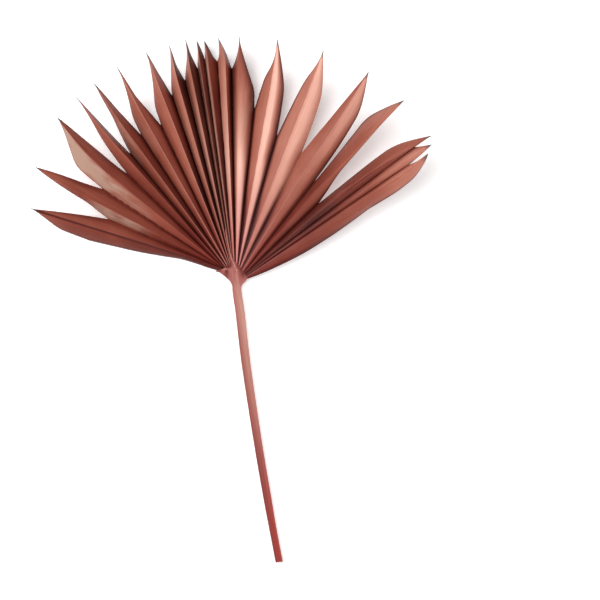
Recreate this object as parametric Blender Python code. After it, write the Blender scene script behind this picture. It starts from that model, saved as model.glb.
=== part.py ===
# Dried palm spear: one palm frond, lying on its back with the face of its fan upward.
# The pleated fan opens toward +Y and the stalk lies toward -Y. The fan, the crown and
# the stalk grew as one piece, so they are one solid.
# Lengths are in millimetres here and directions in degrees, and MM turns them to metres.
import math

import bmesh
import bpy
import numpy as np
from mathutils import Vector

MM = 0.001

# The blade
BLADE_THICK = 0.65
# width of a half of a pleat for each millimetre from the crown
HALF_WIDTH = 0.118
# rise over run where the pleats stand steepest
STEEPEST = 3.3
FLATTEST = 0.25
# how far each half bulges, as a part of its own width
BULGE = 0.05
TIP_HALF_WIDTH = 0.45
TIP_DROP = 2.5
ROWS_IN = 7
ROWS_OUT = 8

# Height of the crown, how the whole fan leans and how far its rim is dished upward
CROWN_HEIGHT = 3.2
LEAN_X = -0.008
LEAN_Y = -0.008
DISH_START = 120.0
DISH_REACH = 60.0
DISH_RISE = 2.5
# how much of the rise found from the widths of the pleats is kept across the fan
CUP = 0.85
REST_CUT = 0.4

# The bottom fold on each side of a segment, from the left margin round to the right one:
# direction and distance, from the crown, at which the blade splits
BOTTOM_FOLDS = [
    (159.2, 112.0),
    (148.7, 103.0),
    (139.2, 117.0),
    (128.9, 109.5),
    (122.7, 118.0),
    (115.6, 124.5),
    (107.9, 123.0),
    (100.7, 140.0),
    (95.7, 148.0),
    (91.4, 154.5),
    (89.1, 160.5),
    (85.8, 158.0),
    (81.9, 152.0),
    (74.1, 123.0),
    (63.7, 106.5),
    (51.5, 102.0),
    (39.3, 90.0),
    (29.9, 81.0),
    (25.5, 163.5),
    (22.3, 153.0),
    (15.6, 109.0),
]

# The top fold of each segment: its direction where the blade splits, direction and
# distance of its tip, and how far out the left and right sides keep half their width
TOP_FOLDS = [
    (154.2, 153.8, 160.0, 0.60, 0.55),
    (144.3, 143.5, 168.0, 0.45, 0.55),
    (133.5, 130.0, 175.5, 0.55, 0.45),
    (124.7, 123.4, 176.0, 0.50, 0.60),
    (119.2, 117.9, 175.5, 0.38, 0.42),
    (111.8, 111.0, 176.0, 0.45, 0.38),
    (103.8, 103.1, 176.0, 0.46, 0.42),
    (98.1, 97.2, 175.5, 0.46, 0.32),
    (93.7, 93.0, 177.0, 0.40, 0.32),
    (90.3, 90.4, 174.5, 0.45, 0.45),
    (88.0, 88.6, 174.0, 0.45, 0.45),
    (83.7, 85.1, 174.5, 0.45, 0.40),
    (80.0, 79.9, 175.5, 0.32, 0.48),
    (69.9, 70.5, 176.5, 0.46, 0.62),
    (58.6, 59.1, 177.5, 0.52, 0.64),
    (46.2, 47.1, 179.0, 0.55, 0.72),
    (35.6, 36.2, 179.0, 0.84, 0.22),
    (26.9, 25.6, 178.0, 0.82, 0.50),
    (23.9, 23.7, 175.0, 0.50, 0.50),
    (20.6, 22.2, 168.5, 0.60, 0.72),
]

# The last pleats before the right margin lie flatter: rise over run of the left and right half
GENTLE_PLEATS = {17: (1.1, 2.0), 18: (0.6, 1.2), 19: (0.6, 0.87)}

# Where folds of a given direction leave the crown, from the right margin to the left one
CROWN_RIM = [
    (15.6, 8.6, -7.2),
    (30.0, 5.4, -3.4),
    (60.0, 3.2, 0.6),
    (90.0, 0.2, 2.4),
    (120.0, -3.6, 1.8),
    (154.0, -6.6, 1.6),
    (159.2, -12.6, 2.0),
]

# The stalk: where its middle runs, its height there and its radius
STALK = [
    (-0.4, 4.0, 2.9, 2.3),
    (-0.9, -18.0, 3.6, 3.3),
    (-1.5, -42.0, 3.7, 3.4),
    (-2.4, -64.0, 3.7, 3.4),
    (-3.0, -105.0, 3.5, 3.2),
    (-3.0, -143.0, 3.3, 3.0),
    (-2.1, -196.0, 2.85, 2.75),
    (-1.3, -221.0, 2.75, 2.75),
]
STALK_STEPS = 5
STALK_SIDES = 3

# The crown, where the stalk spreads into the fan: middle, half sizes and turn of each lobe
CROWN_LOBES = [
    ((-0.6, -4.0), (6.6, 9.5, 2.6), 0.0),
    ((-8.0, -2.4), (8.0, 3.0, 1.5), 132.0),
    ((5.0, -6.2), (6.0, 2.6, 1.5), 12.0),
]
LOBE_SINK = 0.8


def on_ray(direction, distance):
    """plan point at a direction and a distance from the crown"""
    angle = math.radians(direction)
    return np.array([distance * math.cos(angle), distance * math.sin(angle)])


def half_rise(width):
    """rise of a half pleat for each millimetre from the crown, from its width in plan"""
    return math.sqrt(max(HALF_WIDTH ** 2 - width ** 2, (FLATTEST * width) ** 2))


def fold_heights():
    """heights of the bottom and top folds for each millimetre from the crown"""
    bottoms = [0.0]
    tops = []
    for side, top in enumerate(TOP_FOLDS):
        left = math.radians(BOTTOM_FOLDS[side][0] - top[0])
        right = math.radians(top[0] - BOTTOM_FOLDS[side + 1][0])
        up = half_rise(left)
        down = half_rise(right)
        if side in GENTLE_PLEATS:
            up = GENTLE_PLEATS[side][0] * left
            down = GENTLE_PLEATS[side][1] * right
        scale = min(1.0, STEEPEST * left / up, STEEPEST * right / down)
        tilt = 0.5 * (1.0 - CUP) * (up - down)
        tops.append(bottoms[-1] + scale * (up - tilt))
        bottoms.append(tops[-1] - scale * (down + tilt))
    middle = bottoms[len(bottoms) // 2]
    return [b - middle for b in bottoms], [t - middle for t in tops]


def fold_in(direction, distance, slope):
    """points of a fold from the crown out to where the blade splits"""
    far = on_ray(direction, distance)
    rim_directions, rim_x, rim_y = zip(*CROWN_RIM)
    near_x = np.interp(direction, rim_directions, rim_x)
    near_y = np.interp(direction, rim_directions, rim_y)
    near = np.array([near_x, near_y])
    rows = np.linspace(0.0, 1.0, ROWS_IN + 1)
    points = []
    for row in rows:
        plan = near + (far - near) * row
        points.append((plan[0], plan[1], slope * np.linalg.norm(plan)))
    return points


def side_width(part, keep):
    """width of a side past the split, as a part of its width there, out to the tip"""
    opening = 1.0 - 0.12 * part / (part + 0.08)
    return opening * (1.0 - part ** 8) / (1.0 + (part / keep) ** 4)


def segment_grid(number, bottoms, tops):
    """five columns of points, left side to right side, from the crown to the tip"""
    top_dir, tip_dir, tip_far, keep_left, keep_right = TOP_FOLDS[number]
    left_dir, left_far = BOTTOM_FOLDS[number]
    right_dir, right_far = BOTTOM_FOLDS[number + 1]
    top_far = 0.5 * (left_far + right_far)
    rise = tops[number]
    left = fold_in(left_dir, left_far, bottoms[number])
    right = fold_in(right_dir, right_far, bottoms[number + 1])
    ridge = fold_in(top_dir, top_far, rise)
    slope_left = (rise - bottoms[number]) / math.radians(left_dir - top_dir)
    slope_right = (rise - bottoms[number + 1]) / math.radians(top_dir - right_dir)

    def ridge_direction(distance):
        return np.interp(distance, [top_far, tip_far], [top_dir, tip_dir])

    def ridge_height(distance):
        over = np.clip((distance - top_far) / (tip_far - top_far), 0.0, 1.0)
        return rise * distance - TIP_DROP * over ** 2

    for row in range(1, ROWS_OUT + 1):
        part = row / ROWS_OUT
        distance = top_far + part * (tip_far - top_far)
        plan = on_ray(ridge_direction(distance), distance)
        ridge.append((plan[0], plan[1], ridge_height(distance)))
        for side, start_dir, start_far, keep, slope, sign in (
            (left, left_dir, left_far, keep_left, slope_left, 1.0),
            (right, right_dir, right_far, keep_right, slope_right, -1.0),
        ):
            distance = start_far + part * (tip_far - start_far)
            start_spread = abs(start_dir - ridge_direction(start_far))
            spread = math.radians(start_spread) * side_width(part, keep)
            spread = max(spread, TIP_HALF_WIDTH / distance)
            plan = on_ray(ridge_direction(distance) + sign * math.degrees(spread), distance)
            side.append((plan[0], plan[1], ridge_height(distance) - slope * spread * distance))
    left = np.array(left)
    right = np.array(right)
    ridge = np.array(ridge)
    columns = [left, 0.5 * (left + ridge), ridge, 0.5 * (ridge + right), right]
    for column, edge in ((1, left), (3, right)):
        columns[column][:, 2] += BULGE * np.linalg.norm(ridge - edge, axis=1)
    steep = (max(slope_left, 0.2), max(slope_right, 0.2))
    return columns, steep


def lift(plan_x, plan_y, height):
    """height above the surface of a point of the fan"""
    out = max(0.0, (math.hypot(plan_x, plan_y) - DISH_START) / DISH_REACH)
    lean = LEAN_X * plan_x + LEAN_Y * plan_y
    return CROWN_HEIGHT + height + lean + DISH_RISE * out ** 2


def add_blade(collection):
    """the fan as one pleated sheet, thickened downward"""
    bottoms, tops = fold_heights()
    work = bmesh.new()
    depth_of = {}
    shared = None
    rows = ROWS_IN + ROWS_OUT + 1
    for number in range(len(TOP_FOLDS)):
        columns, steep = segment_grid(number, bottoms, tops)
        grid = []
        for column, points in enumerate(columns):
            slope = steep[0] if column < 2 else steep[1]
            if column == 2:
                slope = max(steep)
            depth = BLADE_THICK * math.sqrt(1.0 + slope ** 2)
            line = []
            for row in range(rows):
                if column == 0 and shared is not None and row <= ROWS_IN:
                    vert = shared[row]
                    depth_of[vert] = max(depth_of[vert], depth)
                else:
                    x, y, z = points[row]
                    vert = work.verts.new(Vector((x, y, lift(x, y, z))) * MM)
                    depth_of[vert] = depth
                line.append(vert)
            grid.append(line)
        shared = grid[-1]
        for column in range(4):
            for row in range(rows - 1):
                a, b = grid[column][row], grid[column][row + 1]
                d, c = grid[column + 1][row], grid[column + 1][row + 1]
                if column in (0, 2):
                    work.faces.new((a, d, c))
                    work.faces.new((a, c, b))
                else:
                    work.faces.new((a, d, b))
                    work.faces.new((d, c, b))
    work.verts.index_update()
    place_of = {tuple(vert.co): depth for vert, depth in depth_of.items()}
    grown = bmesh.ops.extrude_face_region(work, geom=work.faces[:], use_keep_orig=True)
    for item in grown["geom"]:
        if isinstance(item, bmesh.types.BMVert):
            item.co.z -= place_of[tuple(item.co)] * MM
    bmesh.ops.triangulate(work, faces=work.faces[:])
    bmesh.ops.recalc_face_normals(work, faces=work.faces[:])
    mesh = bpy.data.meshes.new("blade")
    work.to_mesh(mesh)
    work.free()
    blade = bpy.data.objects.new("blade", mesh)
    collection.objects.link(blade)
    return blade


def add_stalk(collection):
    """the stalk as a bevelled curve with filled ends"""
    curve = bpy.data.curves.new("stalk_line", "CURVE")
    curve.dimensions = "3D"
    curve.bevel_depth = MM
    curve.bevel_resolution = STALK_SIDES
    curve.use_fill_caps = True
    curve.resolution_u = STALK_STEPS
    line = curve.splines.new("BEZIER")
    line.bezier_points.add(len(STALK) - 1)
    for point, (x, y, z, radius) in zip(line.bezier_points, STALK):
        point.co = Vector((x, y, z)) * MM
        point.radius = radius
        point.handle_left_type = "AUTO"
        point.handle_right_type = "AUTO"
    holder = bpy.data.objects.new("stalk_line", curve)
    collection.objects.link(holder)
    bpy.context.view_layer.update()
    shape = holder.evaluated_get(bpy.context.evaluated_depsgraph_get())
    mesh = bpy.data.meshes.new_from_object(shape)
    bpy.data.objects.remove(holder)
    work = bmesh.new()
    work.from_mesh(mesh)
    bmesh.ops.remove_doubles(work, verts=work.verts[:], dist=0.00001)
    bmesh.ops.recalc_face_normals(work, faces=work.faces[:])
    work.to_mesh(mesh)
    work.free()
    stalk = bpy.data.objects.new("stalk", mesh)
    collection.objects.link(stalk)
    return stalk


def add_crown_lobe(collection, name, middle, sizes, turn):
    """one rounded lobe of the crown"""
    mesh = bpy.data.meshes.new(name)
    work = bmesh.new()
    bmesh.ops.create_uvsphere(work, u_segments=16, v_segments=8, radius=1.0)
    height = lift(middle[0], middle[1], 0.0) - LOBE_SINK
    cosine = math.cos(math.radians(turn))
    sine = math.sin(math.radians(turn))
    for vert in work.verts:
        along = vert.co.x * sizes[0]
        across = vert.co.y * sizes[1]
        vert.co.x = (middle[0] + along * cosine - across * sine) * MM
        vert.co.y = (middle[1] + along * sine + across * cosine) * MM
        vert.co.z = (height + vert.co.z * sizes[2]) * MM
    work.to_mesh(mesh)
    work.free()
    lobe = bpy.data.objects.new(name, mesh)
    collection.objects.link(lobe)
    return lobe


def join_pieces(target, collection):
    """one union of the frond with everything in the collection"""
    union = target.modifiers.new("union", "BOOLEAN")
    union.operation = "UNION"
    union.operand_type = "COLLECTION"
    union.collection = collection
    union.solver = "MANIFOLD"
    bpy.context.view_layer.objects.active = target
    bpy.ops.object.modifier_apply(modifier=union.name)
    for item in list(collection.objects):
        bpy.data.objects.remove(item)


def cut_rest_spots(target):
    """small flats where the lowest folds and the end of the stalk lie on the surface"""
    work = bmesh.new()
    work.from_mesh(target.data)
    lowest = min(vert.co.z for vert in work.verts)
    cut = bmesh.ops.bisect_plane(
        work,
        geom=work.verts[:] + work.edges[:] + work.faces[:],
        dist=0.0000001,
        plane_co=(0.0, 0.0, lowest + REST_CUT * MM),
        plane_no=(0.0, 0.0, 1.0),
        clear_inner=True,
    )
    rim = [item for item in cut["geom_cut"] if isinstance(item, bmesh.types.BMEdge)]
    bmesh.ops.holes_fill(work, edges=rim, sides=0)
    bmesh.ops.triangulate(work, faces=work.faces[:])
    bmesh.ops.recalc_face_normals(work, faces=work.faces[:])
    corners = np.array([vert.co[:] for vert in work.verts])
    low = corners.min(axis=0)
    high = corners.max(axis=0)
    shift = Vector((-0.5 * (low[0] + high[0]), -0.5 * (low[1] + high[1]), -low[2]))
    for vert in work.verts:
        vert.co += shift
    work.to_mesh(target.data)
    work.free()
    print("moved by", tuple(round(value / MM, 3) for value in shift))
    print("size", tuple(round(float(value) / MM, 2) for value in high - low))


def paint(target):
    """dry red brown paint of the whole frond"""
    material = bpy.data.materials.new("dried_palm")
    material.use_nodes = True
    surface = material.node_tree.nodes["Principled BSDF"]
    surface.inputs["Base Color"].default_value = (0.42, 0.13, 0.09, 1.0)
    surface.inputs["Roughness"].default_value = 0.55
    surface.inputs["Metallic"].default_value = 0.0
    target.data.materials.clear()
    target.data.materials.append(material)
    for face in target.data.polygons:
        face.use_smooth = False
        face.material_index = 0


for old in list(bpy.data.objects):
    bpy.data.objects.remove(old)
scene = bpy.context.scene
spear = bpy.data.collections.new("palm_spear")
joined = bpy.data.collections.new("joined_pieces")
scene.collection.children.link(spear)
scene.collection.children.link(joined)

frond = add_blade(spear)
frond.name = "palm_frond"
frond.data.name = "palm_frond"
add_stalk(joined)
for index, (middle, sizes, turn) in enumerate(CROWN_LOBES):
    add_crown_lobe(joined, f"crown_lobe_{index}", middle, sizes, turn)
join_pieces(frond, joined)
bpy.data.collections.remove(joined)
cut_rest_spots(frond)
paint(frond)
print("triangles", len(frond.data.polygons))
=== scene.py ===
import math
import bmesh
import bpy
import numpy as np
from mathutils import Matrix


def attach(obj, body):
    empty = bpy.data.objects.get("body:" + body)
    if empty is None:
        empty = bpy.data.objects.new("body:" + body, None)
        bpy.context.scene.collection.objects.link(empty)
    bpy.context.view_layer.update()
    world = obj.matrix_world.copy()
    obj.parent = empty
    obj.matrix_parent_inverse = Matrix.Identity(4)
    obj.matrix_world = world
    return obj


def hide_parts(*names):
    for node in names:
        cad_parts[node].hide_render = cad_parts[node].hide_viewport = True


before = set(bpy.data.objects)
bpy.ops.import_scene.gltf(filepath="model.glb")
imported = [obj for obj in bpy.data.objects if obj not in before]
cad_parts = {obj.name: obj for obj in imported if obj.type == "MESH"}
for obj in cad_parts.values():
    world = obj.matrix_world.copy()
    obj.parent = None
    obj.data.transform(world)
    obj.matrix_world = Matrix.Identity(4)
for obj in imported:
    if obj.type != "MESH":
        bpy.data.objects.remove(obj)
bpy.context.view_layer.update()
mm = 0.001
seamGap = 0.000004  # points closer than this, in metres, are one

# Everything below is in millimetres from the crown, the place where the stalk meets the fan,
# with the fan opening toward +Y. crownPlace moves it to where the frond lies.
crownPlace = np.array([-8.48, 22.15, 2.96])

# The fan. Each row of valleys: direction in degrees and distance at which the blade splits there,
# from the left margin to the right one. Each row of ridges: direction at the split, direction and
# distance of the tip. Each shoulder: how far out it stands, how wide it is there and how the side
# runs on to the tip (1 is straight, more is hollow).
fanSizes = {
    "valleys": [
        (159.2, 112.0), (148.7, 103.0), (139.2, 117.0), (128.9, 109.5), (122.7, 118.0),
        (115.6, 124.5), (107.9, 123.0), (100.7, 140.0), (95.7, 148.0), (91.4, 154.5),
        (89.1, 160.5), (85.8, 158.0), (81.9, 152.0), (74.1, 123.0), (63.7, 106.5),
        (51.5, 102.0), (39.3, 90.0), (29.9, 81.0), (25.5, 163.5), (22.3, 153.0),
        (15.6, 109.0),
    ],
    "ridges": [
        (154.3, 154.0, 159.7), (144.5, 143.5, 168.0), (133.6, 130.2, 175.5), (124.5, 123.4, 176.0),
        (118.9, 117.9, 175.5), (111.8, 111.0, 176.2), (103.5, 103.1, 176.2), (97.8, 97.2, 175.5),
        (93.5, 93.0, 177.0), (90.6, 90.4, 174.8), (88.5, 88.6, 174.0), (83.6, 85.1, 174.8),
        (80.0, 79.9, 175.5), (69.9, 70.5, 176.2), (58.5, 59.1, 177.7), (46.2, 47.1, 179.2),
        (35.8, 36.2, 179.2), (26.6, 25.5, 177.7), (23.7, 23.7, 174.8), (20.6, 22.2, 168.8),
    ],
    "leftShoulders": [
        (0.50, 0.70, 1.3), (0.28, 0.42, 0.8), (0.45, 0.92, 1.6), (0.48, 0.47, 1.8),
        (0.50, 0.24, 1.0), (0.27, 0.82, 2.0), (0.27, 0.82, 1.9), (0.10, 0.92, 1.5),
        (0.40, 0.36, 2.6), (0.15, 0.92, 2.1), (0.20, 0.70, 1.0), (0.26, 0.61, 1.0),
        (0.12, 0.74, 2.4), (0.47, 0.50, 3.2), (0.66, 0.38, 2.0), (0.40, 0.50, 1.1),
        (0.68, 1.31, 0.92), (0.72, 0.98, 0.95), (0.30, 0.66, 1.1), (0.37, 0.42, 0.8),
    ],
    "rightShoulders": [
        (0.40, 0.55, 1.1), (0.30, 0.66, 0.9), (0.36, 0.74, 0.8), (0.30, 0.66, 0.8),
        (0.48, 0.47, 0.8), (0.50, 0.26, 0.8), (0.54, 0.42, 0.8), (0.42, 0.36, 0.8),
        (0.48, 0.40, 1.0), (0.20, 0.90, 0.8), (0.27, 0.60, 0.8), (0.20, 0.66, 0.9),
        (0.25, 0.91, 1.4), (0.50, 0.71, 1.06), (0.59, 0.61, 1.07), (0.68, 0.59, 1.0),
        (0.24, 0.30, 2.2), (0.20, 0.90, 0.9), (0.30, 0.75, 0.8), (0.70, 0.60, 0.75),
    ],
    # how far the first and the last line of valleys, the fan's two margins, bow aside, by the part
    # of the way from the crown
    "bows": {
        0: [(0.0, 0.0), (0.09, -0.5), (0.18, -1.4), (0.28, -2.0), (0.43, -1.1), (0.62, -0.1), (0.8, 0.0),
            (1.0, 0.0)],
        20: [(0.0, 0.0), (0.1, -1.8), (0.26, -3.5), (0.46, -4.5), (0.59, -4.1), (0.74, -3.1), (0.87, -1.7),
             (1.0, 0.0)],
    },
    # how pale the left and the right half of each pleat are, 0 dark to 1 pale, and how much paler
    # each gets toward the tip: the paint's tone with painted light and shade on each half
    "tones": [
        (0.13, 0.22, 0.14, 0.12), (0.26, 0.25, 0.06, 0.08), (0.33, 0.25, 0.00, 0.00),
        (0.20, 0.14, 0.22, 0.04), (0.32, 0.06, 0.06, 0.20), (0.38, 0.22, 0.02, 0.12),
        (0.42, 0.00, 0.08, 0.34), (0.58, 0.00, 0.04, 0.08), (0.84, 0.02, -0.25, 0.02),
        (0.80, 0.06, -0.05, 0.04), (1.15, 0.06, -0.10, 0.12), (1.14, 0.20, -0.42, 0.10),
        (0.82, 1.22, -0.34, -0.76), (0.52, 1.12, 0.02, 0.02), (0.50, 0.80, 0.04, 0.16),
        (0.42, 0.44, -0.02, 0.28), (0.18, 0.28, 0.26, 0.20), (0.10, 0.04, 0.26, 0.22),
        (0.10, 0.16, 0.42, 0.38), (0.22, 0.24, 0.30, 0.26),
    ],
    # how far the rib on each ridge stands out, its paleness a painted highlight; on the first it is a groove
    # with a painted shadow line
    "ribs": [
        -2.5, 0.1, 0.2, 0.3, 0.7, 1.2, 1.0, 1.2, 1.2, 1.5,
        1.6, 0.6, 0.3, 0.5, 0.5, 0.4, 0.2, 0.2, 0.2, 0.3,
    ],
    # where a pale beige painted sheen lies: pleat, half, distance, spread and strength
    "paintedSheen": [
        (2, 0, 140.0, 54.0, 0.95), (1, 0, 96.0, 21.0, 0.8), (4, 0, 130.0, 26.0, 0.4),
        (5, 0, 118.0, 22.0, 0.25), (12, 1, 120.0, 30.0, 0.25), (8, 0, 40.0, 14.0, 0.3),
    ],
    # how much painted shade darkens the left and the right half from the ridge to the valley, where not usual
    "usualFades": (0.25, 0.6),
    "fades": {2: (-0.1, 0.5), 14: (0.05, 0.35), 15: (0.05, 0.3), 16: (0.2, 0.2), 17: (0.2, 0.2),
              18: (0.1, 0.1), 19: (0.0, 0.0)},
    "fadeByCrown": 0.3,  # and how much more by the crown
    # the right half's band of painted highlight: where it starts beside the valley, how wide its soft edge is
    # and on some pleats how much wider further out, and how much painted shade darkens the half again before
    # its ridge
    "bandStart": 0.06,
    "bandEdge": 0.44,
    "narrower": {11: 0.3, 12: 0.4, 13: 0.1, 14: 0.1},
    "ridgeFade": 0.15,
    "ridgeFadeFrom": 0.8,
    # how wide the painted shade of the fold is on the left halves, the right ones' being 1
    "leftWide": [0.5] * 12 + [0.8] + [1.1] * 3 + [1.0] + [0.5] * 3,
    # halves with painted shade nearly all across by the crown: how much wider than usual
    "nearWide": {(12, 0): 1.5, (13, 0): 1.6, (14, 0): 1.4, (15, 0): 0.9, (16, 1): 1.0, (18, 1): 1.5,
                 (19, 0): 1.4},
    # how dark the painted shade of some valleys is by the crown and further out, 1 being usual
    "valleyDark": {
        1: (0.2, 0.0), 2: (0.6, 0.0), 3: (0.9, 0.4), 7: (1.3, 1.5), 8: (1.3, 1.5), 12: (1.3, 1.0),
        13: (1.7, 1.3), 14: (1.7, 1.3), 15: (1.4, 0.1), 18: (1.0, 0.1), 19: (1.0, 0.6),
    },
    # right halves with a browner strip of painted shade along the valley: how wide and how much darker
    # it is, and the distances between which it shows
    "strips": {12: (0.3, 0.2, 95.0, 200.0), 13: (0.55, 0.3, 70.0, 200.0), 14: (0.5, 0.18, 75.0, 118.0),
               15: (0.42, 0.16, 85.0, 150.0)},
    "stripEdge": 0.12,  # how soft its side is, as a part of the half's width
    "stripEnd": 20.0,  # length over which it comes and goes
    # distances from the crown between which each of these changes comes in
    "changes": {"fade": (70.0, 20.0), "narrower": (60.0, 95.0), "nearWide": (60.0, 36.0),
                "valleyDark": (45.0, 90.0), "tone": (80.0, 145.0)},
    "sheenSides": (1 / 12, 1 / 8),  # parts of the width, by the valley and by the ridge, that get less of the painted sheen
    "underTone": 0.4,  # how pale the underside is
    "bareTip": 12.0,  # length of the dry tips
    # the shape of the sheet
    "halfWidth": 0.118,  # true width of half a pleat for each millimetre from the crown
    "steepest": 4.6,  # the most that a half rises for each millimetre of its width in plan
    "flattest": 0.25,  # and the least
    "gentle": {17: (1.1, 2.0), 18: (0.6, 1.2), 19: (0.6, 0.87)},  # rise over run of the last pleats' halves
    "cup": 0.85,  # how much of each pleat's own rise from valley to valley is kept
    "leanX": -0.008,  # rise of the whole fan for each millimetre to the right
    "leanY": -0.008,  # and outward
    "dishStart": 120.0,  # from this distance on the rim curves up,
    "dishReach": 60.0,  # and this much further out
    "dishRise": 2.5,  # it is this much higher
    "tipDrop": 2.5,  # how far each tip bends down
    "tipBend": 1.5,  # the power by which it turns aside
    "tipWidth": 0.28,  # half the width of its blunt end
    "shoulderSoft": 0.07,  # how far along the shoulders are rounded
    "clearance": 0.03,  # how much narrower a segment is just past its splits, to stand clear
    "bulge": 0.075,  # how far each half bulges up, as a part of its width
    "thickness": 0.6,  # measured upright
    "ribWidth": 0.5,
    "ribWidths": {0: 0.9, 10: 0.8},  # of the ridges that differ
    "ribHeight": 0.22,
    "ribFullAt": 8.0,  # width of the half from which a rib has its whole height
    "ribClear": 0.25,  # part of the width by the valley over which it fades out
    "bowSteps": 60,
    "rowsIn": 44,  # of the grid, from the crown to the split
    "rowsOut": 40,  # and on to the tip
    "closerIn": 1.15,  # the power that draws the rows together by the crown
    "across": 10,
    "byRidge": [0.94, 0.97],  # two more columns by the ridge, for its rib
    "sharpFrom": 16.0,  # degrees between faces from which an edge is crisp
}

# where folds of a given direction leave the crown, as x and y of its rim
crownRim = {
    "turn": [15.6, 22.3, 25.5, 29.9, 39.3, 51.5, 63.7, 74.1, 81.9, 85.8, 89.1, 91.4,
             95.7, 100.7, 107.9, 115.6, 122.7, 128.9, 139.2, 148.7, 154.0, 159.2],
    "x": [9.3, 8.2, 7.8, 7.5, 6.7, 5.1, 4.1, 3.0, 1.3, -0.7, -1.05, -2.05,
          -2.7, -3.7, -4.7, -5.9, -7.3, -7.9, -7.2, -6.7, -6.9, -14.3],
    "y": [-6.7, -4.7, -3.5, -3.1, -1.7, 1.1, 3.3, 4.9, 6.2, 7.3, 7.4, 7.4,
          7.3, 6.7, 6.1, 5.1, 4.1, 3.0, 2.2, 2.0, 2.6, 3.0],
    "under": 2.5,  # how much further in they run, under the crown
    "sink": 1.5,  # how deep they go there
    "sinkFrom": 4.5,  # over what length,
    "sinkPower": 1.5,  # and by which power of what is left of it
}


def onRay(turn, reach):
    # plan points at directions in degrees and distances
    angle = np.radians(turn)
    return np.stack([reach * np.cos(angle), reach * np.sin(angle)], axis=-1)


def between(value, start, end, most=1.0):
    # 0 before the start, 1 at the end, in proportion between them and beyond, up to most
    return np.clip((value - start) / (end - start), 0.0, most)


def foldHeights(p):
    # Half pleats are equally wide, so one that looks narrow in plan stands steep: its rise is the
    # root of true width squared less plan width squared, added up from the left margin.
    low = [0.0]
    high = []
    for i, ridge in enumerate(p["ridges"]):
        left = math.radians(p["valleys"][i][0] - ridge[0])
        right = math.radians(ridge[0] - p["valleys"][i + 1][0])
        up = math.sqrt(max(p["halfWidth"] ** 2 - left ** 2, (p["flattest"] * left) ** 2))
        down = math.sqrt(max(p["halfWidth"] ** 2 - right ** 2, (p["flattest"] * right) ** 2))
        if i in p["gentle"]:
            up, down = p["gentle"][i][0] * left, p["gentle"][i][1] * right
        scale = min(1.0, p["steepest"] * left / up, p["steepest"] * right / down)
        tilt = 0.5 * (1.0 - p["cup"]) * (up - down)
        high.append(low[-1] + scale * (up - tilt))
        low.append(high[-1] - scale * (down + tilt))
    middle = low[len(low) // 2]
    return np.array(low) - middle, np.array(high) - middle


def lift(plan, height, p):
    # height over the crown, with the lean of the fan and the upward dish of its rim
    reach = np.hypot(plan[..., 0], plan[..., 1])
    out = between(reach, p["dishStart"], p["dishStart"] + p["dishReach"], None)
    return height + p["leanX"] * plan[..., 0] + p["leanY"] * plan[..., 1] + p["dishRise"] * out ** 2


def foldLine(turn, reach, slope, p, bow=None):
    # straight in plan from the crown's rim to the split, rising in proportion to its distance; it
    # starts sunk under the crown, and the fan's two margins bow to the side
    s = np.linspace(0.0, 1.0, p["rowsIn"] + 1)[:, None] ** p["closerIn"]
    rim = np.array([np.interp(turn, crownRim["turn"], crownRim[axis]) for axis in ("x", "y")])
    near = rim - (onRay(turn, reach) - rim) * crownRim["under"] / reach
    run = onRay(turn, reach) - near
    plan = near + run * s
    if bow:
        curve = smoothLine(bow, p["bowSteps"], 0)
        aside = np.array([-run[1], run[0]]) / np.hypot(*run)
        plan = plan + aside * np.interp(s, curve[:, 0], curve[:, 1])
    fromStart = np.hypot(*(plan - near).T)
    sunk = crownRim["sink"] * between(fromStart, crownRim["sinkFrom"], 0.0) ** crownRim["sinkPower"]
    return plan, slope * np.hypot(plan[:, 0], plan[:, 1]) - sunk


def sideWidth(part, shoulder, p):
    # runs evenly to the shoulder, then as a power of what is left to the tip; the mean of five
    # places close together rounds the shoulder
    place, width, taper = shoulder
    shifts = np.linspace(-p["shoulderSoft"], p["shoulderSoft"], 5)
    total = 0.0
    for shift in shifts:
        at = np.clip(part + shift * np.minimum(1.0, 6.0 * part * (1.0 - part)), 0.0, 1.0)
        before = 1.0 + (width - 1.0) * at / place
        after = width * np.clip((1.0 - at) / (1.0 - place), 0.0, None) ** taper
        total = total + np.where(at < place, before, after) / len(shifts)
    return total * (1.0 - p["clearance"] * part / (part + 0.02))


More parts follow.
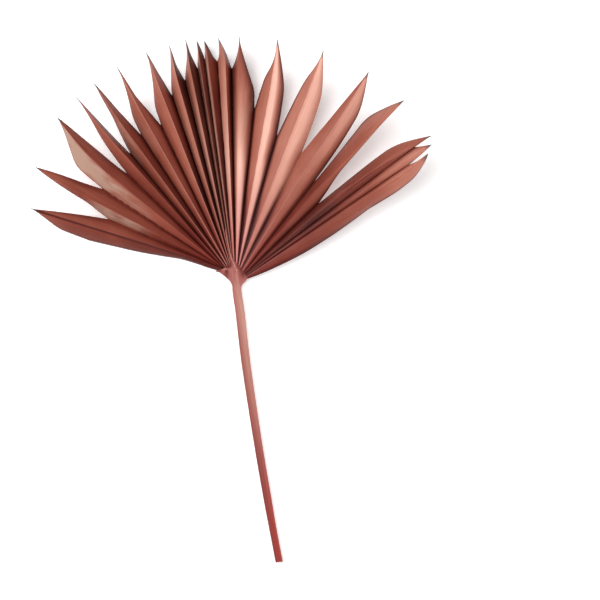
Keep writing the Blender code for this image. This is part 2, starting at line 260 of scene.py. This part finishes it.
def segmentEdges(i, low, high, p):
    # left side, ridge and right side of one segment, each as plan points and heights
    ridgeTurn, tipTurn, tipReach = p["ridges"][i]
    (leftTurn, leftReach), (rightTurn, rightReach) = p["valleys"][i], p["valleys"][i + 1]
    ridgeReach = 0.5 * (leftReach + rightReach)
    part = np.linspace(0.0, 1.0, p["rowsOut"] + 1)[1:]
    over = lambda r: between(r, ridgeReach, tipReach)
    turnAt = lambda r: ridgeTurn + (tipTurn - ridgeTurn) * over(r) ** p["tipBend"]
    heightAt = lambda r: high[i] * r - p["tipDrop"] * over(r) ** 2
    ridgePlan, ridgeHigh = foldLine(ridgeTurn, ridgeReach, high[i], p)
    r = ridgeReach + part * (tipReach - ridgeReach)
    ridge = (np.vstack([ridgePlan, onRay(turnAt(r), r)]), np.concatenate([ridgeHigh, heightAt(r)]))
    sides = []
    for turn, reach, slopeLow, shoulder, sign, bow in (
        (leftTurn, leftReach, low[i], p["leftShoulders"][i], 1.0, p["bows"].get(i)),
        (rightTurn, rightReach, low[i + 1], p["rightShoulders"][i], -1.0, p["bows"].get(i + 1)),
    ):
        plan, foldHigh = foldLine(turn, reach, slopeLow, p, bow)
        r = reach + part * (tipReach - reach)
        firstSpread = math.radians(abs(turn - float(turnAt(reach))))
        steep = (high[i] - slopeLow) / math.radians(abs(turn - ridgeTurn))
        spread = np.maximum(firstSpread * sideWidth(part, shoulder, p), p["tipWidth"] / r)
        outPlan = onRay(turnAt(r) + sign * np.degrees(spread), r)
        outHigh = heightAt(r) - steep * spread * r
        # the split begins at the fold's own height and settles to the side's
        outHigh += (foldHigh[-1] - (heightAt(reach) - steep * firstSpread * reach)) * (1.0 - part) ** 3
        sides.append((np.vstack([plan, outPlan]), np.concatenate([foldHigh, outHigh])))
    return sides[0], ridge, sides[1]


def gridFaces(rows, columns, start, turned):
    # quads of a grid of rows by columns whose first vertex has number start
    r, c = np.meshgrid(np.arange(rows - 1), np.arange(columns - 1), indexing="ij")
    a = start + r * columns + c
    quads = np.stack([a, a + 1, a + columns + 1, a + columns], axis=-1).reshape(-1, 4)
    return quads[:, ::-1] if turned else quads


def addMesh(name, points, quads, attributes):
    # puts arrays of points and quads into a new object at the origin, with a value of each
    # attribute for each point
    mesh = bpy.data.meshes.new(name)
    mesh.vertices.add(len(points))
    mesh.vertices.foreach_set("co", ((points + crownPlace) * mm).ravel())
    mesh.loops.add(quads.size)
    mesh.loops.foreach_set("vertex_index", quads.ravel())
    mesh.polygons.add(len(quads))
    mesh.polygons.foreach_set("loop_start", np.arange(0, quads.size, 4))
    mesh.polygons.foreach_set("loop_total", np.full(len(quads), 4))
    mesh.update(calc_edges=True)
    for key, values in attributes.items():
        layer = mesh.attributes.new(key, "FLOAT", "POINT")
        layer.data.foreach_set("value", values)
    mesh.validate()
    piece = bpy.data.objects.new(name, mesh)
    bpy.context.scene.collection.objects.link(piece)
    return piece


def weld(piece, sharpFrom):
    # joins the seams and keeps the folds crisp
    work = bmesh.new()
    work.from_mesh(piece.data)
    bmesh.ops.remove_doubles(work, verts=work.verts[:], dist=seamGap)
    work.to_mesh(piece.data)
    work.free()
    piece.data.shade_smooth()
    piece.data.set_sharp_from_angle(angle=math.radians(sharpFrom))


def paintFacts(i, side, a, reach, p):
    # what the paint does on one half pleat, at a, from the valley (0) to the ridge (1), and at the distance
    # from the
    # crown, with painted light and shade: its tone, its painted sheen, and how wide and how strong the fold's
    # painted shade is
    changes = p["changes"]
    fade = p["fades"].get(i, p["usualFades"])[side] + p["fadeByCrown"] * between(reach, *changes["fade"])
    if side == 0:
        # painted shade toward the valley, palest at the ridge
        paler = 1.0 - fade * (1.0 - a)
        wide = p["leftWide"][i]
    else:
        # painted highlight in a band between valley and ridge, with a browner strip of painted shade by some
        # valleys
        bandEdge = p["bandEdge"] + p["narrower"].get(i, 0.0) * between(reach, *changes["narrower"])
        rise = between(a, p["bandStart"], p["bandStart"] + bandEdge)
        paler = 1.0 - fade * (1.0 - rise ** 2 * (3.0 - 2.0 * rise))
        paler = paler - p["ridgeFade"] * between(a, p["ridgeFadeFrom"], 1.0)
        if i in p["strips"]:
            stripWide, stripDark, stripFrom, stripTo = p["strips"][i]
            onStrip = np.clip((stripWide - a) / p["stripEdge"] + 0.5, 0.0, 1.0)
            onStrip = onStrip * between(reach, stripFrom, stripFrom + p["stripEnd"])
            paler = paler - stripDark * onStrip * between(reach, stripTo, stripTo - p["stripEnd"])
        wide = 1.0
    paintedSheen = np.zeros(reach.shape)
    for pleat, half, middle, spread, strength in p["paintedSheen"]:
        if (pleat, half) == (i, side):
            byValley, byRidge = p["sheenSides"]
            paintedSheen = strength * np.exp(-((reach - middle) / spread) ** 2)
            paintedSheen = paintedSheen * between(a, 0.0, byValley) * between(a, 1.0, 1.0 - byRidge)
    tone, toneOut = p["tones"][i][side], p["tones"][i][side + 2]
    near, far = p["valleyDark"].get(i + side, (1.0, 1.0))
    return {
        "tone": (tone + toneOut * between(reach, *changes["tone"], 1.2)) * paler,
        "paintedSheen": paintedSheen,
        "wide": wide * (1.0 + p["nearWide"].get((i, side), 0.0) * between(reach, *changes["nearWide"])),
        "dark": near + (far - near) * between(reach, *changes["valleyDark"]),
    }


def rimFaces(rows, columns, firstFree, start, underStart, turned):
    # walls between the two sheets of a half pleat: along its free side, round its tip and under the
    # crown
    side = np.arange(firstFree, rows) * columns
    last = (rows - 1) * columns + np.arange(columns)
    first = np.arange(columns)[::-1]
    walls = []
    for line in (side, last, first):
        a, b = line[:-1], line[1:]
        walls.append(np.stack([a + start, b + start, b + underStart, a + underStart], axis=1))
    walls = np.vstack(walls)
    return walls[:, ::-1] if turned else walls


def buildFan(p):
    # each half pleat is a grid between its side and its ridge; the underside is the same grid lower
    low, high = foldHeights(p)
    a = np.sort(np.concatenate([np.linspace(0.0, 1.0, p["across"] + 1), p["byRidge"]]))
    rows = p["rowsIn"] + p["rowsOut"] + 1
    columns = len(a)
    lastPleat = len(p["ridges"]) - 1
    points, quads, sheetFacts = [], [], []
    start = 0
    for i in range(lastPleat + 1):
        leftEdge, ridge, rightEdge = segmentEdges(i, low, high, p)
        widths = [np.hypot(np.hypot(*(ridge[0] - edge[0]).T), ridge[1] - edge[1])[:, None]
                  for edge in (leftEdge, rightEdge)]
        # both halves raise their shared ridge by the narrower one's measure, and no valley
        ribRise = p["ribHeight"] * between(np.minimum(*widths), 0.0, p["ribFullAt"])
        ribRise = ribRise * between(a, 0.0, p["ribClear"])
        for side, edge in enumerate((leftEdge, rightEdge)):
            plan = edge[0][:, None, :] * (1 - a)[None, :, None] + ridge[0][:, None, :] * a[None, :, None]
            fromRidge = (1 - a) * widths[side]
            rib = p["ribs"][i] * np.exp(-(fromRidge / p["ribWidths"].get(i, p["ribWidth"])) ** 2)
            height = edge[1][:, None] * (1 - a) + ridge[1][:, None] * a
            height = height + p["bulge"] * widths[side] * 4.0 * a * (1 - a) + ribRise * rib
            top = np.concatenate([plan, lift(plan, height, p)[..., None]], axis=-1)
            under = top - np.array([0.0, 0.0, p["thickness"]])
            reach = np.hypot(plan[..., 0], plan[..., 1])
            turn = np.degrees(np.arctan2(plan[..., 1], plan[..., 0]))
            tipReach = p["ridges"][i][2]
            # what the paint reads: the place on the half, the distance, the dry tip, the place round the
            # fan and a number of the half's own, the rib, and what paintFacts gives
            facts = {
                "fold": np.broadcast_to(a, reach.shape),
                "reach": reach / 180.0,
                "tip": between(reach, tipReach - p["bareTip"], tipReach),
                "offset": turn / 10.0,
                "grain": np.full(reach.shape, 0.37 * (2 * i + side)),
                "rib": np.clip(rib, -1.0, 1.0),
                **paintFacts(i, side, a, reach, p),
            }
            underFacts = {**facts, "tone": np.full(reach.shape, p["underTone"]),
                          "paintedSheen": np.zeros(reach.shape)}
            underStart = start + rows * columns
            points += [top.reshape(-1, 3), under.reshape(-1, 3)]
            sheetFacts += [facts, underFacts]
            quads += [gridFaces(rows, columns, start, side == 1),
                      gridFaces(rows, columns, underStart, side == 0)]
            # the fan's two margins are free from the crown on, the other sides from their split
            firstFree = 0 if (i, side) in ((0, 0), (lastPleat, 1)) else p["rowsIn"]
            quads.append(rimFaces(rows, columns, firstFree, start, underStart, side == 1))
            start = underStart + rows * columns
    attributes = {key: np.concatenate([facts[key].ravel() for facts in sheetFacts]) for key in sheetFacts[0]}
    fan = addMesh("fan", np.vstack(points), np.vstack(quads), attributes)
    weld(fan, p["sharpFrom"])
    print("fan", len(fan.data.polygons), "faces")
    return fan


# The stalk, from its cut end up to the crown and on as a thin rib into the fan: x and y of its
# middle, height of its middle, half its width and half its thickness.
stalkSizes = {
    "line": [
        (-1.3, -221.0, -0.1, 2.72, 2.72),
        (-2.1, -196.0, 0.0, 2.75, 2.75),
        (-2.55, -173.0, 0.1, 3.0, 2.9),
        (-3.0, -143.0, 0.2, 3.05, 3.0),
        (-3.0, -105.0, 0.25, 3.2, 3.05),
        (-2.3, -60.0, 0.3, 3.42, 3.1),
        (-1.5, -42.0, 0.3, 3.45, 3.1),
        (-0.9, -28.0, 0.3, 3.45, 3.1),
        (-0.9, -18.0, 0.25, 3.4, 3.0),
        (-0.6, -11.0, 0.1, 3.1, 2.8),
        (0.1, -6.0, -0.1, 2.5, 2.5),
        (0.6, -2.0, -0.1, 1.6, 2.1),
        (1.1, 0.5, 0.3, 0.95, 1.7),
        (0.4, 4.0, 0.9, 0.75, 1.1),
        (-0.8, 8.6, 1.4, 0.62, 0.85),
        (-1.6, 13.0, 1.75, 0.55, 0.65),
        (-2.1, 20.0, 2.3, 0.45, 0.45),
        (-2.2, 32.0, 3.35, 0.3, 0.3),
    ],
    "sides": 40,
    "steps": 640,
    "sharpFrom": 50.0,
    "flutes": (3, 0.03, 0.6),  # faint ones all round: how many, how deep, how far turned
    "colourRun": 220.0,  # length over which its colours change
    "darkUpTo": 2.0,  # y up to which the crown's painted shadows show on it, and not on its rib beyond
}

# The crown, where the stalk spreads thin to the left and right under the pleats: y, x of its left
# and right edge, height of its middle and of those edges.
crownSizes = {
    "rows": [
        (-19.0, -4.2, 2.4, 0.6, 0.0, 0.0),
        (-15.0, -3.95, 2.5, 1.5, 0.3, 0.3),
        (-11.3, -3.9, 3.6, 2.0, 0.4, 0.5),
        (-8.0, -4.5, 7.6, 2.1, 0.4, 0.9),
        (-6.0, -5.6, 9.2, 2.0, 0.4, 1.2),
        (-3.4, -7.7, 7.6, 1.8, 0.5, 1.1),
        (0.8, -11.7, 5.4, 1.7, 0.5, 0.6),
        (2.6, -13.8, 4.2, 1.6, 0.4, 0.5),
        (3.5, -8.0, 3.6, 1.4, 0.35, 0.4),
        (4.8, -4.8, 2.9, 1.2, 0.3, 0.3),
        (6.4, -3.3, 1.6, 1.15, 0.5, 0.1),
        (9.0, -2.9, 0.1, 1.2, 0.7, 0.4),
        (13.0, -2.4, -1.2, 0.9, 0.7, 0.7),
    ],
    "middle": -0.6,  # x of its highest line,
    "middleIn": 0.5,  # which stays this far inside the edges
    "thick": 0.9,
    "thinner": 0.75,  # how much of that the edges lose
    "across": 90,
    "steps": 140,
    "sharpFrom": 60.0,
    "shade": 0.3,  # where its colour lies between the stalk's left side and its painted highlight on the right
}

# painted shadows (dark) and painted highlights (pale) on the crown and the rib: x and y, how far each spreads
# in x and y, strength;
# the last two pale ones are on the rib alone
crownSpots = {
    "dark": [
        (-6.1, 0.7, 1.4, 1.6, 1.0), (4.4, 0.6, 1.6, 2.2, 0.9), (6.2, -2.6, 1.7, 2.0, 0.9),
        (2.6, 3.8, 1.0, 2.2, 0.8), (0.4, -0.6, 0.6, 0.4, 0.7), (-9.0, -1.2, 3.4, 2.0, 0.3),
        (-4.2, 3.9, 1.8, 1.5, 0.55), (-2.2, 7.4, 1.4, 4.0, 0.75), (3.4, -3.2, 1.6, 2.4, 0.35),
        (-11.6, 2.0, 2.4, 1.6, 0.8), (-6.6, -3.4, 2.2, 2.2, 0.35), (-5.0, 4.2, 2.2, 1.1, 0.8),
        (-9.4, 3.6, 2.2, 0.7, 0.8), (-3.2, 5.6, 1.6, 2.0, 0.5), (-6.6, -1.6, 3.0, 2.4, 0.35),
        (-3.6, -6.5, 1.6, 3.0, 0.2), (5.8, -5.4, 2.6, 2.4, 0.45),
    ],
    "pale": [
        (1.3, 0.6, 0.55, 0.7, 1.0), (-7.6, 2.8, 1.2, 0.45, 0.9), (0.2, 4.6, 0.8, 3.4, 0.5),
        (-1.2, 10.5, 0.7, 3.6, 0.4),
    ],
}


def spotted(x, y, spots):
    # bells added up, no more than 1
    total = 0.0
    for midX, midY, wideX, wideY, strength in spots:
        total = total + strength * np.exp(-((x - midX) / wideX) ** 2 - ((y - midY) / wideY) ** 2)
    return np.clip(total, 0.0, 1.0)


def smoothLine(values, steps, key):
    # a curve through the given rows, by pieces of third degree with slopes from their neighbours
    values = np.array(values, dtype=float)
    along = values[:, key]
    at = np.linspace(along[0], along[-1], steps)
    slope = np.gradient(values, along, axis=0)
    i = np.clip(np.searchsorted(along, at, side="right") - 1, 0, len(along) - 2)
    h = (along[i + 1] - along[i])[:, None]
    t = ((at - along[i])[:, None]) / h
    return ((2 * t ** 3 - 3 * t ** 2 + 1) * values[i] + (t ** 3 - 2 * t ** 2 + t) * h * slope[i]
            + (3 * t ** 2 - 2 * t ** 3) * values[i + 1] + (t ** 3 - t ** 2) * h * slope[i + 1])


def tubeFaces(rows, columns):
    # quads of rings closed all round, facing outward
    r, c = np.meshgrid(np.arange(rows - 1), np.arange(columns), indexing="ij")
    nextC = (c + 1) % columns
    return np.stack([r * columns + c, (r + 1) * columns + c, (r + 1) * columns + nextC,
                     r * columns + nextC], axis=-1).reshape(-1, 4)


def closeRings(ring, quads):
    # each end gets a small ring drawn to its middle, and quads across that
    rows, columns = ring.shape[:2]
    points = ring.reshape(-1, 3)
    parts = [quads]
    smallRing = 0.05
    for row, turned in ((0, False), (rows - 1, True)):
        middle = ring[row].mean(axis=0)
        first = len(points)
        points = np.vstack([points, middle + (ring[row] - middle) * smallRing])
        c = np.arange(columns)
        cap = np.stack([row * columns + c, row * columns + (c + 1) % columns,
                        first + (c + 1) % columns, first + c], axis=1)
        k = np.arange(columns // 2 - 1)
        lid = np.stack([first + k, first + k + 1, first + columns - 2 - k, first + columns - 1 - k], axis=1)
        parts += [cap[:, ::-1] if turned else cap, lid[:, ::-1] if turned else lid]
    return points, np.vstack(parts)


def buildStalk(p):
    # rings carried along the stalk's line, each an ellipse with faint flutes, flat where it would
    # sink into the surface
    line = smoothLine(p["line"], p["steps"], 1)
    angle = np.linspace(0.0, 2 * np.pi, p["sides"] + 1)[:-1]
    count, deep, turned = p["flutes"]
    flute = 1.0 - deep * np.cos(count * angle + turned)
    x = line[:, 0:1] + line[:, 3:4] * np.cos(angle) * flute
    y = np.broadcast_to(line[:, 1:2], x.shape)
    z = np.maximum(line[:, 2:3] + line[:, 4:5] * np.sin(angle) * flute, -crownPlace[2])
    points, quads = closeRings(np.stack([x, y, z], axis=-1), tubeFaces(*x.shape))
    # where round the stalk each point lies, for the painted highlight along its right side
    across = np.broadcast_to(0.5 + 0.5 * np.cos(angle), x.shape).ravel()
    onEnds = np.full(len(points) - across.size, 0.5)
    facts = {"reach": between(-points[:, 1], 0.0, p["colourRun"]),
             "across": np.concatenate([across, onEnds]),
             "dark": spotted(points[:, 0], points[:, 1], crownSpots["dark"]) * (points[:, 1] < p["darkUpTo"]),
             "pale": spotted(points[:, 0], points[:, 1], crownSpots["pale"])}
    stalk = addMesh("stalk", points, quads, facts)
    weld(stalk, p["sharpFrom"])
    print("stalk", len(stalk.data.polygons), "faces")
    return stalk


def buildCrown(p):
    # a thin sheet between its two edges, highest along its middle and falling off by a power of the
    # way to an edge, with an equal sheet under it that comes closer at the edges
    rows = smoothLine(p["rows"], p["steps"], 0)
    s = np.sin(np.linspace(-0.5 * np.pi, 0.5 * np.pi, p["across"]))
    left, right = rows[:, 1:2], rows[:, 2:3]
    middle = np.clip(p["middle"], left + p["middleIn"], right - p["middleIn"])
    x = middle + s * np.where(s < 0, middle - left, right - middle)
    y = np.broadcast_to(rows[:, 0:1], x.shape)
    edgeHigh = np.where(s < 0, rows[:, 4:5], rows[:, 5:6])
    top = edgeHigh + (rows[:, 3:4] - edgeHigh) * (1.0 - np.abs(s) ** 1.6)
    thick = p["thick"] * (1.0 - p["thinner"] * np.abs(s) ** 3)
    upper = np.stack([x, y, top], axis=-1)
    lower = np.stack([x, y, top - thick], axis=-1)
    ring = np.concatenate([upper[:, ::-1], lower], axis=1)
    points, quads = closeRings(ring, tubeFaces(*ring.shape[:2]))
    facts = {"reach": np.zeros(len(points)), "across": np.full(len(points), p["shade"]),
             "dark": spotted(points[:, 0], points[:, 1], crownSpots["dark"]),
             "pale": spotted(points[:, 0], points[:, 1], crownSpots["pale"][:2])}
    crown = addMesh("crown", points, quads, facts)
    weld(crown, p["sharpFrom"])
    print("crown", len(crown.data.polygons), "faces")
    return crown


def node(tree, kind, inputs=None, **settings):
    # one shader node with its settings and its inputs, which are values or other nodes' outputs
    made = tree.nodes.new(kind)
    for key, value in settings.items():
        setattr(made, key, value)
    for key, value in (inputs or {}).items():
        if isinstance(value, bpy.types.NodeSocket):
            tree.links.new(value, made.inputs[key])
        else:
            made.inputs[key].default_value = value
    return made


def ramp(tree, factor, stops):
    # a colour ramp from pairs of place and colour
    made = node(tree, "ShaderNodeValToRGB", {"Fac": factor})
    band = made.color_ramp
    while len(band.elements) > 1:
        band.elements.remove(band.elements[-1])
    band.elements[0].position = stops[0][0]
    band.elements[0].color = (*stops[0][1], 1.0)
    for place, colour in stops[1:]:
        band.elements.new(place).color = (*colour, 1.0)
    return made.outputs["Color"]


def mask(tree, factor, start, end, most=1.0):
    # black up to the start and evenly paler up to the end
    return ramp(tree, factor, [(start, (0.0, 0.0, 0.0)), (end, (most, most, most))])


def mix(tree, factor, first, second, how="MIX"):
    # two colours, each given as numbers or as another node's output, mixed by a factor
    made = node(tree, "ShaderNodeMix", data_type="RGBA", blend_type=how)
    for key, value in ((0, factor), (6, first), (7, second)):
        if isinstance(value, bpy.types.NodeSocket):
            tree.links.new(value, made.inputs[key])
        elif key == 0:
            made.inputs[key].default_value = value
        else:
            made.inputs[key].default_value = (*value, 1.0)
    return made.outputs[2]


def calculate(tree, how, *values):
    # one step of arithmetic on numbers or other nodes' outputs
    return node(tree, "ShaderNodeMath", dict(enumerate(values)), operation=how).outputs[0]


def noise(tree, place, stretch, scale, detail):
    # the smaller an axis of stretch, the longer the pattern runs along it
    stretched = node(tree, "ShaderNodeMapping", {"Vector": place, "Scale": stretch}).outputs[0]
    made = node(tree, "ShaderNodeTexNoise", {"Vector": stretched, "Scale": scale, "Detail": detail})
    return made.outputs["Fac"]


def addBump(tree, surface, height, strength, depth):
    made = node(tree, "ShaderNodeBump", {"Height": height, "Strength": strength, "Distance": depth})
    tree.links.new(made.outputs[0], surface.inputs["Normal"])


def newMaterial(name, roughness, gloss):
    # with its node tree, its shader and a function that reads one of the piece's attributes
    material = bpy.data.materials.new(name)
    material.use_nodes = True
    tree = material.node_tree
    surface = tree.nodes["Principled BSDF"]
    surface.inputs["Roughness"].default_value = roughness
    surface.inputs["Specular IOR Level"].default_value = gloss
    fact = lambda key: node(tree, "ShaderNodeAttribute", attribute_name=key).outputs["Fac"]
    return material, tree, surface, fact


paintLooks = {
    # the colours that the tone runs through, from painted shade in the folds to painted light on the palest
    # halves
    "tones": [
        (0.00, (0.036, 0.005, 0.004)),
        (0.16, (0.180, 0.034, 0.021)),
        (0.32, (0.31, 0.083, 0.052)),
        (0.48, (0.46, 0.168, 0.116)),
        (0.64, (0.61, 0.280, 0.208)),
        (0.80, (0.75, 0.390, 0.30)),
        (1.00, (0.92, 0.530, 0.43)),
    ],
    "contrast": 0.8,  # how far apart the fan's tones lie on those
    "darker": -0.08,  # and how far they are moved
    "tint": [(0.04, (0.66, 0.36, 0.40)), (0.45, (1.0, 1.0, 1.0))],  # over the tone, from the crown outward: darker by the crown, partly the paint's own and partly painted shade
    # painted shade in the folds: its colour, its strength, and how much of the half it covers by the crown
    # and further out
    "fold": (0.040, 0.003, 0.003),
    "foldStrength": 0.85,
    "foldByCrown": 0.55,  # how much of the half it covers there
    "foldFurther": 0.16,
    # painted highlight on a rib and painted shadow line in a groove
    "rib": (0.66, 0.31, 0.25),
    "grooveShadow": (0.075, 0.010, 0.007),
    # the pale beige colour of the painted sheen
    "paintedSheen": (0.41, 0.245, 0.185),
    "dryTip": (0.09, 0.06, 0.055),
    # patterns along the pleats: how fine across a pleat, along it and from half to half
    "streaks": (26.0, 3.0, 7.0),
    "veins": (60.0, 1.2, 7.0),
    "patches": (3.4, 6.5, 9.0),
    "patchContrast": 2.6,
    "streakStrength": 0.30,
    "cloudStrength": 0.24,
    "clouds": 28.0,
    "veinStrength": 0.5,
    "veinDepth": 0.00024,
    "roughness": 0.42,
    "gloss": 0.22,
}


def paintedLeaf(p):
    # dull copper red paint on dry leaf, with painted light and shade: paler or darker on each half pleat,
    # redder and darker toward the crown (partly the paint, partly painted shade), painted shade in the folds,
    # painted highlights on the ribs and a painted sheen in patches, streaked along the veins, bare at the
    # fine tips
    material, tree, surface, fact = newMaterial("paintedLeaf", p["roughness"], p["gloss"])
    reach, rib, paintedSheen = fact("reach"), fact("rib"), fact("paintedSheen")
    onPleats = {"X": fact("offset"), "Y": reach, "Z": fact("grain")}
    along = node(tree, "ShaderNodeCombineXYZ", onPleats).outputs[0]
    place = node(tree, "ShaderNodeTexCoord").outputs["Object"]
    streak = noise(tree, along, p["streaks"], 3.0, 4.0)
    vein = noise(tree, along, p["veins"], 4.0, 2.0)
    patch = noise(tree, along, p["patches"], 1.6, 3.0)
    cloud = noise(tree, place, (1.0, 1.0, 1.0), p["clouds"], 3.0)
    # streaks and clouds shift the tone a little
    shift = calculate(tree, "MULTIPLY_ADD", streak, p["streakStrength"], -0.5 * p["streakStrength"])
    shift = calculate(tree, "MULTIPLY_ADD", cloud, p["cloudStrength"], shift)
    level = calculate(tree, "ADD", fact("tone"), shift)
    level = calculate(tree, "MULTIPLY_ADD", level, p["contrast"], p["darker"])
    colour = mix(tree, 1.0, ramp(tree, level, p["tones"]), ramp(tree, reach, p["tint"]), "MULTIPLY")
    # the painted shade of the fold is wider toward the crown
    spread = node(tree, "ShaderNodeMapRange", {"Value": reach, "From Min": 0.05, "From Max": 0.7,
                                               "To Min": p["foldByCrown"], "To Max": p["foldFurther"]})
    spread = calculate(tree, "MULTIPLY", spread.outputs[0], fact("wide"))
    deep = node(tree, "ShaderNodeMapRange", {"Value": fact("fold"), "From Min": 0.0, "From Max": spread,
                                             "To Min": p["foldStrength"], "To Max": 0.0})
    deep = calculate(tree, "MULTIPLY", deep.outputs[0], fact("dark"))
    colour = mix(tree, deep, colour, p["fold"])
    # a rib that stands out gets a painted highlight, and one that is a groove a painted shadow line
    colour = mix(tree, mask(tree, rib, 0.1, 0.9, 0.6), colour, p["rib"])
    grooveShadow = calculate(tree, "MULTIPLY", rib, -0.9)
    colour = mix(tree, mask(tree, grooveShadow, 0.25, 0.8), colour, p["grooveShadow"])
    # the painted sheen comes in patches
    patchy = calculate(tree, "MULTIPLY_ADD", patch, p["patchContrast"], -0.5 * p["patchContrast"])
    patchy = calculate(tree, "MULTIPLY_ADD", patchy, paintedSheen, paintedSheen)
    colour = mix(tree, mask(tree, patchy, 0.15, 0.9), colour, p["paintedSheen"])
    colour = mix(tree, mask(tree, fact("tip"), 0.45, 0.85), colour, p["dryTip"])
    tree.links.new(colour, surface.inputs["Base Color"])
    addBump(tree, surface, vein, p["veinStrength"], p["veinDepth"])
    return material


stalkLooks = {
    # from the crown to the cut end, on the left side and in the stripe of painted highlight on the right
    "left": [(0.0, (0.345, 0.098, 0.085)), (0.12, (0.34, 0.105, 0.088)), (0.34, (0.27, 0.066, 0.047)),
             (0.64, (0.20, 0.030, 0.022)), (0.88, (0.21, 0.018, 0.013))],
    "right": [(0.0, (0.47, 0.18, 0.15)), (0.12, (0.55, 0.28, 0.22)), (0.34, (0.485, 0.215, 0.172)),
              (0.64, (0.35, 0.085, 0.070)), (0.88, (0.33, 0.038, 0.024))],
    # how much of the painted highlight's colour there is from the left side to the right one
    "highlightStripe": [(0.12, (0.0, 0.0, 0.0)), (0.5, (0.55, 0.55, 0.55)), (0.76, (1.0, 1.0, 1.0)),
               (1.0, (0.6, 0.6, 0.6))],
    # the colours of the crown's painted shadows and painted highlights
    "dark": (0.125, 0.014, 0.010),
    "pale": (0.58, 0.26, 0.22),
    "fibres": (900.0, 18.0, 900.0),
    "fibreTones": [(0.3, (0.8, 0.78, 0.78)), (0.7, (1.15, 1.15, 1.15))],
    "fibreStrength": 0.8,
    "fibreBump": 0.4,
    "fibreDepth": 0.0002,
    "roughness": 0.5,
    "gloss": 0.25,
}


def paintedStalk(p):
    # the same paint, redder toward the cut end and fibrous, with a painted highlight along the right side,
    # and the painted shadows and highlights of the crown
    material, tree, surface, fact = newMaterial("paintedStalk", p["roughness"], p["gloss"])
    reach = fact("reach")
    place = node(tree, "ShaderNodeTexCoord").outputs["Object"]
    fibre = noise(tree, place, p["fibres"], 1.0, 3.0)
    highlightStripe = ramp(tree, fact("across"), p["highlightStripe"])
    colour = mix(tree, highlightStripe, ramp(tree, reach, p["left"]), ramp(tree, reach, p["right"]))
    colour = mix(tree, p["fibreStrength"], colour, ramp(tree, fibre, p["fibreTones"]), "MULTIPLY")
    # the crown's painted shadows and painted highlights, also on the stalk's top
    colour = mix(tree, fact("dark"), colour, p["dark"])
    colour = mix(tree, fact("pale"), colour, p["pale"])
    tree.links.new(colour, surface.inputs["Base Color"])
    addBump(tree, surface, fibre, p["fibreBump"], p["fibreDepth"])
    return material


fan = buildFan(fanSizes)
stalk = buildStalk(stalkSizes)
crown = buildCrown(crownSizes)
fan.data.materials.append(paintedLeaf(paintLooks))
stalkPaint = paintedStalk(stalkLooks)
stalk.data.materials.append(stalkPaint)
crown.data.materials.append(stalkPaint)
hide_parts("palm_frond")
for piece in (fan, stalk, crown):
    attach(piece, "root")
print("materials done")

# A pale table and three broad soft lights: direction and height in degrees, strength at the table
# in watts for each square metre, and size. Lengths here are in metres.
studio = {
    "table": (0.93, 0.93, 0.93),
    "tableSize": 12.0,
    "tableTop": -0.0004,  # just under the frond
    "tableRoughness": 0.9,
    "tableGloss": 0.1,
    "glow": 0.3,  # light of the table's own, so that it stays pale
    "around": 0.12,
    "lights": {
        "high": (135.0, 65.0, 2.6, 1.3),
        "side": (180.0, 36.0, 1.8, 1.0),
        "low": (325.0, 26.0, 2.2, 1.0),
    },
    "lightsOff": 1.6,
    "aim": (0.0, 0.08, 0.01),
    "cameraHeight": 8.0,  # over the level that the view is measured at
    "level": 0.010,
    "cameraTurn": -9.0,
    "cameraMiddle": (0.0363, -0.0070),
    "field": 0.450,  # what the view takes in at that level
    "sensor": 36.0,
}


def buildTable(p):
    half = 0.5 * p["tableSize"]
    corners = [(x, y, p["tableTop"]) for x, y in ((-half, -half), (half, -half), (half, half), (-half, half))]
    mesh = bpy.data.meshes.new("table")
    mesh.from_pydata(corners, [], [(0, 1, 2, 3)])
    table = bpy.data.objects.new("table", mesh)
    bpy.context.scene.collection.objects.link(table)
    pale, _, surface, _ = newMaterial("paleTable", p["tableRoughness"], p["tableGloss"])
    surface.inputs["Base Color"].default_value = (*p["table"], 1.0)
    surface.inputs["Emission Color"].default_value = (1.0, 1.0, 1.0, 1.0)
    surface.inputs["Emission Strength"].default_value = p["glow"]
    mesh.materials.append(pale)


def buildLights(p):
    # each stands off from the aim by its direction and height, and faces it
    around = bpy.data.worlds.new("around")
    around.use_nodes = True
    background = around.node_tree.nodes["Background"]
    background.inputs["Color"].default_value = (1.0, 1.0, 1.0, 1.0)
    background.inputs["Strength"].default_value = p["around"]
    bpy.context.scene.world = around
    for name, (turn, high, strength, size) in p["lights"].items():
        lamp = bpy.data.lights.new(name, "AREA")
        lamp.shape = "SQUARE"
        lamp.size = size
        lamp.energy = strength * math.pi * p["lightsOff"] ** 2
        made = bpy.data.objects.new(name, lamp)
        level = p["lightsOff"] * math.cos(math.radians(high))
        made.location = (p["aim"][0] + level * math.cos(math.radians(turn)),
                         p["aim"][1] + level * math.sin(math.radians(turn)),
                         p["aim"][2] + p["lightsOff"] * math.sin(math.radians(high)))
        made.rotation_euler = (math.radians(90.0 - high), 0.0, math.radians(turn + 90.0))
        bpy.context.scene.collection.objects.link(made)


def buildCamera(p):
    # straight above, far off, so that it sees the frond as flat as the photo does
    camera = bpy.data.cameras.new("camera")
    camera.sensor_width = p["sensor"]
    camera.lens = p["sensor"] * p["cameraHeight"] / p["field"]
    camera.clip_start = 0.1
    camera.clip_end = 20.0
    eye = bpy.data.objects.new("camera", camera)
    eye.location = (*p["cameraMiddle"], p["cameraHeight"] + p["level"])
    eye.rotation_euler = (0.0, 0.0, math.radians(p["cameraTurn"]))
    bpy.context.scene.collection.objects.link(eye)
    bpy.context.scene.camera = eye
    bpy.context.scene.view_settings.view_transform = "Standard"


buildTable(studio)
buildLights(studio)
buildCamera(studio)
print("scene ready")
